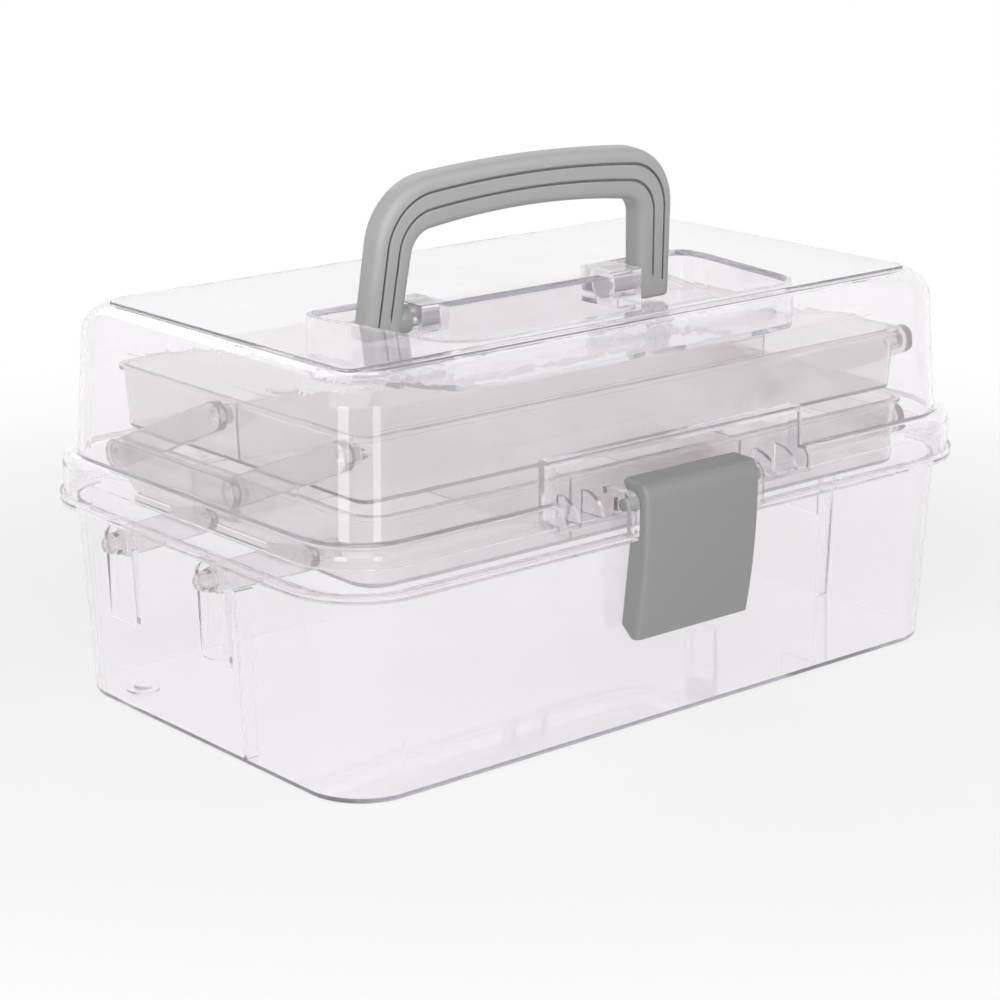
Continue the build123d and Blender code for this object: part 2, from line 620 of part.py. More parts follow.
def add_bearings(tray, bearings):
    """A tray with its bearings at both ends."""
    for boss, hole in bearings:
        tray = tray + both_ends(boss) - both_ends(hole)
    return tray


def make_lower_tray():
    """Lower tray with dividers and the bearings for both sets of arms."""
    tray = tray_shell(
        LOWER_TRAY_X, LOWER_TRAY_FRONT, LOWER_TRAY_BACK, LOWER_TRAY_CORNER, LOWER_TRAY_Z, LOWER_TRAY_TOP
    )
    low = LOWER_TRAY_Z + TRAY_FLOOR / 2
    head = LOWER_TRAY_TOP - DIVIDER_DROP
    long_x = tray_wall_x(LOWER_TRAY_X, LOWER_TRAY_TOP, LOWER_TRAY_Z) - TRAY_WALL / 2
    front = LOWER_TRAY_FRONT + LOWER_TRAY_X - long_x
    tray += block(-long_x, long_x, LOWER_DIVIDER_Y, LOWER_DIVIDER_Y + DIVIDER, low, head)
    half = DIVIDER / 2
    cross = CROSS_DIVIDER_X
    tray += both_ends(block(cross - half, cross + half, front, LOWER_DIVIDER_Y + half, low, head))
    dy, z = arm_reach(LOW_ARM_LONG, LOW_ARM_LEAN)
    z += LOW_PIVOT_Z
    wall = tray_wall_x(LOWER_TRAY_X, LOWER_TRAY_TOP, z)
    stalk_x = LOW_ARM_X - FACE_GAP
    pad_x = HIGH_ARM_X - FACE_GAP
    high_wall = tray_wall_x(LOWER_TRAY_X, LOWER_TRAY_TOP, HIGH_PIVOT_Z)
    bearings = [
        bearing(LOW_BACK_Y - dy, z, STALK_R, TRAY_PIN_R + RUN_FIT, wall, stalk_x),
        bearing(LOW_FRONT_Y - dy, z, STALK_R, TRAY_PIN_R + LOOSE_FIT, wall, stalk_x),
        bearing(HIGH_BACK_Y, HIGH_PIVOT_Z, PAD_R, ARM_PIN_R, high_wall, pad_x),
        bearing(HIGH_FRONT_Y, HIGH_PIVOT_Z, PAD_R, ARM_PIN_R, high_wall, pad_x),
    ]
    return add_bearings(tray, bearings)


def make_upper_tray():
    """Upper tray with its divider and the bearings for the upper arms."""
    tray = tray_shell(
        UPPER_TRAY_X, UPPER_TRAY_FRONT, UPPER_TRAY_BACK, UPPER_TRAY_CORNER, UPPER_TRAY_Z, UPPER_TRAY_TOP
    )
    low = UPPER_TRAY_Z + TRAY_FLOOR / 2
    head = UPPER_TRAY_TOP - DIVIDER_DROP
    long_x = tray_wall_x(UPPER_TRAY_X, UPPER_TRAY_TOP, UPPER_TRAY_Z) - TRAY_WALL / 2
    tray += block(-long_x, long_x, UPPER_DIVIDER_Y, UPPER_DIVIDER_Y + DIVIDER, low, head)
    dy, z = arm_reach(HIGH_ARM_LONG, HIGH_ARM_LEAN)
    z += HIGH_PIVOT_Z
    wall = tray_wall_x(UPPER_TRAY_X, UPPER_TRAY_TOP, z)
    pad_x = HIGH_ARM_X - FACE_GAP
    bearings = [
        bearing(HIGH_BACK_Y - dy, z, PAD_R, ARM_PIN_R + RUN_FIT, wall, pad_x),
        bearing(HIGH_FRONT_Y - dy, z, PAD_R, ARM_PIN_R + LOOSE_FIT, wall, pad_x),
    ]
    return add_bearings(tray, bearings)


def arm_reach(long, lean):
    """Forward and upward distance between an arm's two pivots."""
    return long * cos(radians(lean)), long * sin(radians(lean))


def arm_blade(y, z, long, lean, x0, x1):
    """Flat bar with round ends that leans forward from its lower pivot."""
    dy, dz = arm_reach(long, lean)
    outline = Pos(y - dy / 2, z + dz / 2) * SlotCenterToCenter(long, 2 * ARM_R, rotation=-lean)
    return chamfer(along_x(outline, x0, x1).faces().filter_by(Axis.X).edges(), ARM_EDGE)


def make_lower_arm(y):
    """Lower arm at +X: snap pin through the tub's wall, plain pin into the tray's stalk."""
    z = LOW_PIVOT_Z
    arm = arm_blade(y, z, LOW_ARM_LONG, LOW_ARM_LEAN, LOW_ARM_X, LOW_ARM_X + LOW_ARM_THICK)
    collar_x = POCKET_X + FACE_GAP
    head_x = collar_x + COLLAR_LONG
    tip = head_x + HEAD_LONG
    shank = rod(y, z, WALL_PIN_R, LOW_ARM_X + ARM_EDGE, tip)
    arm += chamfer(shank.faces().sort_by(Axis.X)[-1].edges(), ARM_EDGE)
    collar = Plane.YZ.offset(collar_x + COLLAR_LONG / 2) * Pos(y, z)
    arm += collar * Cone(COLLAR_R, (COLLAR_R + WALL_PIN_R) / 2, COLLAR_LONG)
    arm -= rod(y, z, WALL_PIN_R / 3, tip - ARM_EDGE * 2, tip + OVER)
    dy, dz = arm_reach(LOW_ARM_LONG, LOW_ARM_LEAN)
    inner = tray_wall_x(LOWER_TRAY_X, LOWER_TRAY_TOP, z + dz) - TRAY_WALL
    return arm + rod(y - dy, z + dz, TRAY_PIN_R, inner, LOW_ARM_X + ARM_EDGE)


def make_upper_arm(y):
    """Upper arm at +X: eye for the pivot bar's pin, plain pin into the upper tray."""
    z = HIGH_PIVOT_Z
    x1 = HIGH_ARM_X + HIGH_ARM_THICK
    arm = arm_blade(y, z, HIGH_ARM_LONG, HIGH_ARM_LEAN, HIGH_ARM_X, x1)
    arm -= rod(y, z, ARM_PIN_R + RUN_FIT, HIGH_ARM_X - OVER, x1 + OVER)
    dy, dz = arm_reach(HIGH_ARM_LONG, HIGH_ARM_LEAN)
    inner = tray_wall_x(UPPER_TRAY_X, UPPER_TRAY_TOP, z + dz) - TRAY_WALL
    return arm + rod(y - dy, z + dz, ARM_PIN_R, inner, HIGH_ARM_X + ARM_EDGE)


def make_pivot_bar():
    """Bar at +X whose two pins pass through the upper arms into the lower tray's wall."""
    pitch = HIGH_BACK_Y - HIGH_FRONT_Y
    outline = Pos(HIGH_FRONT_Y + pitch / 2, HIGH_PIVOT_Z) * SlotCenterToCenter(pitch, 2 * ARM_R)
    bar = chamfer(along_x(outline, BAR_X, BAR_X + BAR_THICK).faces().filter_by(Axis.X).edges(), ARM_EDGE)
    inner = tray_wall_x(LOWER_TRAY_X, LOWER_TRAY_TOP, HIGH_PIVOT_Z) - TRAY_WALL
    for y in (HIGH_BACK_Y, HIGH_FRONT_Y):
        bar += rod(y, HIGH_PIVOT_Z, ARM_PIN_R, inner, BAR_X + ARM_EDGE)
    return bar


def build_all():
    """Every piece under its own name."""
    pieces = {
        "base_tub": make_tub(),
        "lid": make_lid(),
        "handle": make_handle(),
        "latch": make_latch(),
        "lower_tray": make_lower_tray(),
        "upper_tray": make_upper_tray(),
    }
    for side, x in zip(("left", "right"), hinge_places()):
        pieces["hinge_pin_" + side] = make_hinge_pin(x)
    right = {
        "lower_arm_back": make_lower_arm(LOW_BACK_Y),
        "lower_arm_front": make_lower_arm(LOW_FRONT_Y),
        "upper_arm_back": make_upper_arm(HIGH_BACK_Y),
        "upper_arm_front": make_upper_arm(HIGH_FRONT_Y),
        "pivot_bar": make_pivot_bar(),
    }
    for name, piece in right.items():
        pieces[name + "_right"] = piece
        pieces[name + "_left"] = at_left(piece)
    return pieces


os.makedirs("parts", exist_ok=True)
for node, shape in build_all().items():
    export_step(shape, f"parts/{node}.step")
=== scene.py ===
"""Dresses a clear storage case with a folding handle, a front latch and two fold-out trays.

The solids come packed as a fixed frame. This script gives each one the finish of the real moulding,
models the handle and the latch anew with rounded edges, and sets up a plain white studio with the
camera.
"""

from __future__ import annotations

import logging
import math
from collections.abc import Callable
from dataclasses import dataclass
from enum import Enum

import bmesh
import bpy
from mathutils import Matrix, Vector

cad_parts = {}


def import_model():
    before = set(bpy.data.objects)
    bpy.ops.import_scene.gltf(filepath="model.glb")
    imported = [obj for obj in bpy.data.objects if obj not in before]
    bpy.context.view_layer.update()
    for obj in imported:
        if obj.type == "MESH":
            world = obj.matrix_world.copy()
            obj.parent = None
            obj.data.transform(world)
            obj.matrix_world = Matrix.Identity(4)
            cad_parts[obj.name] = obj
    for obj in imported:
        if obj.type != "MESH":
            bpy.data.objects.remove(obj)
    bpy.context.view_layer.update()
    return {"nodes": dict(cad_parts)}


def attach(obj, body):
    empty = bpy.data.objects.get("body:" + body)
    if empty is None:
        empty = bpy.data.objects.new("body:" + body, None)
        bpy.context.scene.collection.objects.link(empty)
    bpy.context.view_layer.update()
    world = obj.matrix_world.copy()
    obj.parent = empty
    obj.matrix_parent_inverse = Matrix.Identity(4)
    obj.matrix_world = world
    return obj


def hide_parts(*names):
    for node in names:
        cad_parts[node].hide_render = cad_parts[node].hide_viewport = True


log = logging.getLogger("storage_case")

MM = 0.001

PLASTIC_IOR = 1.49
# Most of a noise texture's values lie in this range.
NOISE_RANGE = (0.3, 0.7)
# Two coordinates closer than this, in metres, are the same place.
SAME_PLACE = 1e-6
# Faces that meet at less than this many degrees are shaded as one round.
SMOOTH_ANGLE = 32.0
ROD_CORNERS = 48
CHAMFER_STEPS = 2

Colour = tuple[float, float, float, float]

WHITE: Colour = (1.0, 1.0, 1.0, 1.0)


class Combination(Enum):
    """How one piece changes another."""

    ADDED = "UNION"
    CUT = "DIFFERENCE"


def linear(hex_colour: str) -> Colour:
    """Turns an sRGB hex colour into the linear values that shaders take.

    Args:
        hex_colour: Six hex digits with a leading hash.

    Returns:
        Red, green, blue and an alpha of 1.
    """
    shares = [int(hex_colour[i : i + 2], 16) / 255 for i in (1, 3, 5)]
    return (*[s / 12.92 if s <= 0.04045 else ((s + 0.055) / 1.055) ** 2.4 for s in shares], 1.0)


def add_node(
    tree: bpy.types.NodeTree,
    kind: str,
    values: dict[str | int, object] | None = None,
    links: dict[str | int, bpy.types.NodeSocket] | None = None,
    **settings: object,
) -> bpy.types.Node:
    """Adds one node with its settings, socket values and incoming links.

    Args:
        tree: The node tree that gets it.
        kind: Blender's name for the node type.
        values: Socket name or number to its value.
        links: Socket name or number to the socket that feeds it.
        **settings: Attributes of the node itself.

    Returns:
        The new node.
    """
    node = tree.nodes.new(kind)
    for name, value in settings.items():
        setattr(node, name, value)
    for socket, value in (values or {}).items():
        node.inputs[socket].default_value = value
    for socket, source in (links or {}).items():
        tree.links.new(source, node.inputs[socket])
    return node


def new_material(name: str) -> tuple[bpy.types.Material, bpy.types.NodeTree]:
    """Makes an empty node material.

    Args:
        name: The finish it stands for.

    Returns:
        The material and its node tree, with no nodes in it.
    """
    material = bpy.data.materials.new(name)
    material.use_nodes = True
    material.node_tree.nodes.clear()
    return material, material.node_tree


def set_output(tree: bpy.types.NodeTree, shader: bpy.types.NodeSocket) -> None:
    """Sends a shader to the surface output.

    Args:
        tree: The material's node tree.
        shader: The shader socket that the surface shows.
    """
    add_node(tree, "ShaderNodeOutputMaterial", links={"Surface": shader})


def object_place(tree: bpy.types.NodeTree) -> bpy.types.NodeSocket:
    """Gives the place on the object, by which patterns are laid out.

    Args:
        tree: The material's node tree.

    Returns:
        The place in metres.
    """
    return add_node(tree, "ShaderNodeTexCoord").outputs["Object"]


def noise(
    tree: bpy.types.NodeTree, place: bpy.types.NodeSocket, size: float, detail: float
) -> bpy.types.NodeSocket:
    """Adds a noise pattern of a real size.

    Args:
        tree: The material's node tree.
        place: Place on the object.
        size: Size of its coarsest features in mm.
        detail: How many finer layers it has.

    Returns:
        A value that mostly lies in NOISE_RANGE.
    """
    scale = 1 / (size * MM)
    return add_node(
        tree, "ShaderNodeTexNoise", {"Scale": scale, "Detail": detail}, {"Vector": place}
    ).outputs["Fac"]


def ramp(
    tree: bpy.types.NodeTree,
    value: bpy.types.NodeSocket,
    given: tuple[float, float],
    wanted: tuple[float, float],
    **settings: object,
) -> bpy.types.NodeSocket:
    """Maps one range of values to another, and holds the ends beyond it.

    Args:
        tree: The material's node tree.
        value: The value that is mapped.
        given: The range that it comes in.
        wanted: What the two ends of that range become.
        **settings: Attributes of the node.

    Returns:
        The mapped value.
    """
    names = ("From Min", "From Max", "To Min", "To Max")
    ends = dict(zip(names, (*given, *wanted)))
    return add_node(
        tree, "ShaderNodeMapRange", ends, {"Value": value}, **settings
    ).outputs["Result"]


def blend(
    tree: bpy.types.NodeTree,
    share: bpy.types.NodeSocket,
    colours: dict[int, Colour],
    made: dict[int, bpy.types.NodeSocket] | None = None,
) -> bpy.types.NodeSocket:
    """Mixes two colours, of which input 6 is the first and input 7 the second.

    Args:
        tree: The material's node tree.
        share: Share of the second colour.
        colours: Plain colours by input.
        made: Colours that other nodes make, by input.

    Returns:
        The mixed colour.
    """
    return add_node(
        tree, "ShaderNodeMix", colours, {0: share, **(made or {})}, data_type="RGBA"
    ).outputs[2]


def loft(name: str, rings: list[list[Vector]]) -> bpy.types.Object:
    """Extrudes a closed outline through a row of stations, one extrude for each.

    Args:
        name: Name of the piece.
        rings: The outline at every station, point for point, in metres.

    Returns:
        A closed piece at the origin.
    """
    bpy.ops.object.select_all(action="DESELECT")
    bpy.ops.mesh.primitive_circle_add(vertices=len(rings[0]), radius=MM, fill_type="NGON")
    piece = bpy.context.object
    piece.name = name
    bpy.ops.object.mode_set(mode="EDIT")
    bpy.ops.mesh.select_all(action="SELECT")
    for number, ring in enumerate(rings):
        if number:
            bpy.ops.mesh.extrude_region_move()
        mesh = bmesh.from_edit_mesh(piece.data)
        cap = next(face for face in mesh.faces if face.select)
        for corner, place in zip(cap.loops, ring):
            corner.vert.co = place
        bmesh.update_edit_mesh(piece.data)
    bpy.ops.mesh.select_all(action="SELECT")
    bpy.ops.mesh.normals_make_consistent(inside=False)
    bpy.ops.object.mode_set(mode="OBJECT")
    return piece


def prism(name: str, outline: list[tuple[float, float]], half: float) -> bpy.types.Object:
    """Extrudes an outline along X.

    Args:
        name: Name of the piece.
        outline: Its points in Y and Z, in mm.
        half: Half its length in mm.

    Returns:
        The closed prism.
    """
    return loft(name, [[Vector((x, y, z)) * MM for y, z in outline] for x in (-half, half)])


def pick_edges(piece: bpy.types.Object, wanted: Callable[[Vector, Vector], bool]) -> None:
    """Selects a piece's edges by the places of their ends.

    Args:
        piece: The piece, in object mode.
        wanted: Says of an edge's two ends whether it is one of them.
    """
    bpy.ops.object.select_all(action="DESELECT")
    bpy.context.view_layer.objects.active = piece
    piece.select_set(True)
    bpy.ops.object.mode_set(mode="EDIT")
    bpy.ops.mesh.select_mode(type="EDGE")
    bpy.ops.mesh.select_all(action="DESELECT")
    bpy.ops.object.mode_set(mode="OBJECT")
    points = piece.data.vertices
    for edge in piece.data.edges:
        edge.select = wanted(*(points[i].co for i in edge.vertices))


def rod(
    name: str,
    radius: float,
    ends: tuple[float, float],
    axis: tuple[float, float],
    chamfer: float = 0.0,
) -> bpy.types.Object:
    """Round rod along X with a chamfer round both ends.

    Args:
        name: Name of the piece.
        radius: Its radius in mm.
        ends: X of its two ends in mm.
        axis: Y and Z of its axis in mm.
        chamfer: Size of the chamfer at both ends in mm.

    Returns:
        The rod, at the origin.
    """
    bpy.ops.object.select_all(action="DESELECT")
    middle = Vector((sum(ends) / 2, *axis)) * MM
    bpy.ops.mesh.primitive_cylinder_add(
        vertices=ROD_CORNERS,
        radius=radius * MM,
        depth=abs(ends[1] - ends[0]) * MM,
        location=middle,
        rotation=(0, math.pi / 2, 0),
    )
    piece = bpy.context.object
    piece.name = name
    bpy.ops.object.transform_apply(location=True, rotation=True, scale=True)
    if chamfer:
        pick_edges(piece, lambda a, b: abs(a.x - b.x) < SAME_PLACE)
        bpy.ops.object.mode_set(mode="EDIT")
        bpy.ops.mesh.bevel(offset=chamfer * MM, segments=CHAMFER_STEPS, affect="EDGES")
        bpy.ops.object.mode_set(mode="OBJECT")
    return piece


def combine(piece: bpy.types.Object, tool: bpy.types.Object, how: Combination) -> None:
    """Changes a piece by a second one, which is used up.

    Args:
        piece: The piece that stays.
        tool: The piece that is added or cut away.
        how: Whether it is added or cut away.
    """
    bpy.ops.object.select_all(action="DESELECT")
    bpy.context.view_layer.objects.active = piece
    piece.select_set(True)
    joined = piece.modifiers.new("joined", "BOOLEAN")
    joined.operation = how.value
    joined.solver = "EXACT"
    joined.object = tool
    bpy.ops.object.modifier_apply(modifier=joined.name)
    bpy.data.objects.remove(tool, do_unlink=True)


def unite(piece: bpy.types.Object, tool: bpy.types.Object) -> None:
    """Adds a second piece to the first.

    Args:
        piece: The piece that stays.
        tool: The piece that is added and used up.
    """
    combine(piece, tool, Combination.ADDED)


def carve(piece: bpy.types.Object, tool: bpy.types.Object) -> None:
    """Cuts a second piece out of the first.

    Args:
        piece: The piece that stays.
        tool: The piece that is cut away and used up.
    """
    combine(piece, tool, Combination.CUT)


def spread(first: float, last: float, steps: int) -> list[float]:
    """Lists evenly spaced values.

    Args:
        first: The first value.
        last: The last value.
        steps: How many steps there are between the two.

    Returns:
        All values, with the first and the last.
    """
    return [first + (last - first) * step / steps for step in range(steps + 1)]


@dataclass(frozen=True)
class ClearMoulding:
    """Moulded clear plastic: polished, faintly hazed, with a tint that deepens along the walls.

    Attributes:
        name: Name of the finish.
        tint: Colour that one face takes from the light that passes it.
        haze: Share of a face that scatters light, as fine haze in the plastic does.
        haze_tint: Colour of the haze.
        depth_tint: Colour that light takes on its way along a wall.
        depth: How fast it takes that colour, per metre.
        rough: Roughness of the polished mould.
        ripple: Strength of the slow unevenness that mouldings have.
        flow: Size of the clouds in which the melt spreads through the mould, in mm.
        uneven: Share by which haze and roughness differ between the clouds.
        peel: Length of the faint ripples in mm.
        peel_deep: Depth of those ripples in mm at full strength.
    """

    name: str
    tint: str
    haze: float
    haze_tint: str
    depth_tint: str
    depth: float
    rough: float
    ripple: float
    flow: float = 45.0
    uneven: float = 0.3
    peel: float = 9.0
    peel_deep: float = 0.3

    def build(self) -> bpy.types.Material:
        """Makes the material.

        Returns:
            A material for walls of this plastic.
        """
        material, tree = new_material(self.name)
        place = object_place(tree)
        cloud = noise(tree, place, self.flow, detail=2.0)
        peel = noise(tree, place, self.peel, detail=1.0)
        bump = add_node(
            tree,
            "ShaderNodeBump",
            {"Strength": self.ripple, "Distance": self.peel_deep * MM},
            {"Height": peel},
        ).outputs["Normal"]
        spreads = (1 - self.uneven, 1 + self.uneven)
        rough = ramp(tree, cloud, NOISE_RANGE, tuple(self.rough * s for s in spreads))
        glass = add_node(
            tree,
            "ShaderNodeBsdfPrincipled",
            {"Base Color": linear(self.tint), "Transmission Weight": 1.0, "IOR": PLASTIC_IOR},
            {"Roughness": rough, "Normal": bump},
        ).outputs["BSDF"]
        # The haze lies in the same polished face, so it shines as the clear part does.
        veil = add_node(
            tree,
            "ShaderNodeBsdfPrincipled",
            {"Base Color": linear(self.haze_tint), "IOR": PLASTIC_IOR},
            {"Roughness": rough, "Normal": bump},
        ).outputs["BSDF"]
        share = ramp(tree, cloud, NOISE_RANGE, tuple(self.haze * s for s in spreads))
        body = add_node(tree, "ShaderNodeMixShader", links={0: share, 1: glass, 2: veil}).outputs[0]
        # Lamps reach what the case holds, and its own shadow stays pale.
        passed = add_node(
            tree, "ShaderNodeBsdfTransparent", {"Color": linear(self.tint)}
        ).outputs["BSDF"]
        to_lamp = add_node(tree, "ShaderNodeLightPath").outputs["Is Shadow Ray"]
        surface = add_node(
            tree, "ShaderNodeMixShader", links={0: to_lamp, 1: body, 2: passed}
        ).outputs[0]
        inside = add_node(
            tree,
            "ShaderNodeVolumeAbsorption",
            {"Color": linear(self.depth_tint), "Density": self.depth},
        ).outputs["Volume"]
        add_node(tree, "ShaderNodeOutputMaterial", links={"Surface": surface, "Volume": inside})
        return material


@dataclass(frozen=True)
class SatinMoulding:
    """Opaque moulded plastic with a fine spark-eroded grain and edges rubbed a little lighter.

    Lengths are in mm.

    Attributes:
        name: Name of the finish.
        colour: Body colour.
        worn: Colour of the rubbed edges.
        groove: Painted shade colour deep in the grooves.
        rough: Roughness of the grained face.
        grain: Size of the grain.
        grain_deep: Depth of the grain at full strength.
        relief: Strength of the grain.
        cloud: Size of the patches that are handled more or less smooth.
        patchy: How much rougher or smoother those patches are.
        edge: Radius to which shading rounds the edges.
        bend: Likeness of rounded and true normal at which wear starts, and at which it is full.
        wear: Share of the worn colour at full wear.
        reach: How far from a groove's walls the painted shade reaches into its floor.
        shade: Share of open air at which the painted groove shade is full, and at which there is
            none.
        samples: Rays for each rounded edge and each groove.
    """

    name: str
    colour: str
    worn: str
    groove: str
    rough: float
    grain: float
    grain_deep: float = 0.1
    relief: float = 0.12
    cloud: float = 30.0
    patchy: float = 0.05
    edge: float = 0.6
    bend: tuple[float, float] = (0.99, 0.8)
    wear: float = 0.5
    reach: float = 1.6
    shade: tuple[float, float] = (0.15, 0.65)
    samples: int = 6

    def build(self) -> bpy.types.Material:
        """Makes the material.

        Returns:
            A material for the handle and the latch.
        """
        material, tree = new_material(self.name)
        place = object_place(tree)
        grain = noise(tree, place, self.grain, detail=3.0)
        cloud = noise(tree, place, self.cloud, detail=2.0)
        round_normal = add_node(
            tree, "ShaderNodeBevel", {"Radius": self.edge * MM}, samples=self.samples
        ).outputs["Normal"]
        bump = add_node(
            tree,
            "ShaderNodeBump",
            {"Strength": self.relief, "Distance": self.grain_deep * MM},
            {"Height": grain, "Normal": round_normal},
        ).outputs["Normal"]
        true_normal = add_node(tree, "ShaderNodeNewGeometry").outputs["Normal"]
        likeness = add_node(
            tree,
            "ShaderNodeVectorMath",
            links={0: round_normal, 1: true_normal},
            operation="DOT_PRODUCT",
        ).outputs["Value"]
        # Painted shade: grooves and inner corners are darkened towards the groove colour where the
        # AO node finds little open air round them.
        open_air = add_node(
            tree,
            "ShaderNodeAmbientOcclusion",
            {"Distance": self.reach * MM},
            samples=self.samples,
            only_local=True,
        ).outputs["AO"]
        wear = ramp(tree, likeness, self.bend, (0.0, self.wear))
        body = blend(tree, wear, {6: linear(self.colour), 7: linear(self.worn)})
        # Painted shade: where little open air is found, the colour turns to the groove colour.
        unshaded = ramp(tree, open_air, self.shade, (0.0, 1.0))
        paint = blend(tree, unshaded, {6: linear(self.groove)}, {7: body})
        rough = ramp(tree, cloud, NOISE_RANGE, (self.rough - self.patchy, self.rough + self.patchy))
        shader = add_node(
            tree,
            "ShaderNodeBsdfPrincipled",
            {"IOR": PLASTIC_IOR},
            {"Base Color": paint, "Roughness": rough, "Normal": bump},
        )
        set_output(tree, shader.outputs["BSDF"])
        return material


@dataclass(frozen=True)
class DrawnWire:
    """Drawn steel wire with faint marks along its length.

    Attributes:
        name: Name of the finish.
        colour: Colour of the metal.
        rough: Roughness.
        patchy: How much rougher or smoother it is between the marks.
        mark: Length and width of a mark in mm.
    """

    name: str
    colour: str
    rough: float
    patchy: float = 0.08
    mark: tuple[float, float] = (20.0, 0.3)

    def build(self) -> bpy.types.Material:
        """Makes the material.

        Returns:
            A material for the hinge pins.
        """
        material, tree = new_material(self.name)
        # Die marks run along the wire, so the pattern is drawn out along X.
        long, wide = (1 / (size * MM) for size in self.mark)
        along = add_node(
            tree, "ShaderNodeMapping", {"Scale": (long, wide, wide)}, {"Vector": object_place(tree)}
        ).outputs["Vector"]
        marks = add_node(
            tree, "ShaderNodeTexNoise", {"Scale": 1.0, "Detail": 2.0}, {"Vector": along}
        ).outputs["Fac"]
        rough = ramp(tree, marks, NOISE_RANGE, (self.rough - self.patchy, self.rough + self.patchy))
        shader = add_node(
            tree,
            "ShaderNodeBsdfPrincipled",
            {"Base Color": linear(self.colour), "Metallic": 1.0},
            {"Roughness": rough},
        )
        set_output(tree, shader.outputs["BSDF"])
        return material


SHELL = ClearMoulding(
    name="clear_styrene_moulded",
    tint="#FEFDFE",
    haze=0.042,
    haze_tint="#F7F4F7",
    depth_tint="#9C96B2",
    depth=5.0,
    rough=0.03,
    ripple=0.04,
)
TRAY = ClearMoulding(
    name="milky_polypropylene_moulded",
    tint="#F8F6F6",
    haze=0.075,
    haze_tint="#DDD7DA",
    depth_tint="#8C8280",
    depth=6.0,
    rough=0.09,
    ripple=0.05,
)
LINK = ClearMoulding(
    name="smoky_polypropylene_moulded",
    tint="#F6F3F3",
    haze=0.09,
    haze_tint="#D8D2D6",
    depth_tint="#7C7270",
    depth=14.0,
    rough=0.14,
    ripple=0.08,
)
# Painted light and shade: handle and latch are one grey plastic, but the handle's colours are
# painted lighter and the latch's darker for the light that falls on each. The groove colours are
# painted shade.
GRIP = SatinMoulding(
    name="grey_abs_satin_grain",
    colour="#AAAAAA",
    worn="#C2C2C2",
    groove="#3C3C3C",
    rough=0.33,
    grain=0.5,
)
# Painted shade: the latch's grey is darker than the handle's for the strong light on its side.
CATCH = SatinMoulding(
    name="grey_abs_fine_grain",
    colour="#888888",
    worn="#A2A2A2",
    groove="#4A4A4A",
    rough=0.38,
    grain=0.4,
)
WIRE = DrawnWire(name="drawn_steel_wire", colour="#B8B8BA", rough=0.30)


@dataclass
class Assembly:
    """Solids of one sub-assembly, and the finishes that they get.

    Attributes:
        nodes: The frame's objects by node name.
        finishes: Built materials by the name of their finish.
    """

    nodes: dict[str, bpy.types.Object]
    finishes: dict[str, bpy.types.Material]

    def dress(self, node: str, finish: str, slot: str) -> None:
        """Gives one solid its finish.

        Args:
            node: Name of the solid.
            finish: Name of the finish.
            slot: The record's material slot.
        """
        solid = self.nodes[node]
        solid.data.materials.clear()
        solid.data.materials.append(self.finishes[finish])
        log.info("%s: %s (%s)", node, finish, slot)

    def finish(
        self, piece: bpy.types.Object, stands_for: tuple[str, str], finish: str, slot: str
    ) -> None:
        """Finishes a modelled piece: shading, finish, body and the solid that it replaces.

        Args:
            piece: The modelled piece.
            stands_for: The solid's node and its body.
            finish: Name of the finish.
            slot: The record's material slot; not used.
        """
        node, body = stands_for
        bpy.ops.object.select_all(action="DESELECT")
        bpy.context.view_layer.objects.active = piece
        piece.select_set(True)
        bpy.ops.object.shade_smooth_by_angle(angle=math.radians(SMOOTH_ANGLE))
        piece.data.materials.clear()
        piece.data.materials.append(self.finishes[finish])
        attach(piece, body)
        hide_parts(node)
        log.info("%s: %d faces (%s)", piece.name, len(piece.data.polygons), finish)

    def build(self) -> None:
        """Dresses the sub-assembly's solids and adds its pieces."""
        raise NotImplementedError


@dataclass
class CaseShell(Assembly):
    """Tub, lid and the pins of the back hinges."""

    def build(self) -> None:
        """Dresses the shell."""
        self.dress("base_tub", SHELL.name, "shell_clear")
        self.dress("lid", SHELL.name, "shell_clear")
        for side in ("left", "right"):
            self.dress(f"hinge_pin_{side}", WIRE.name, "pin_steel")


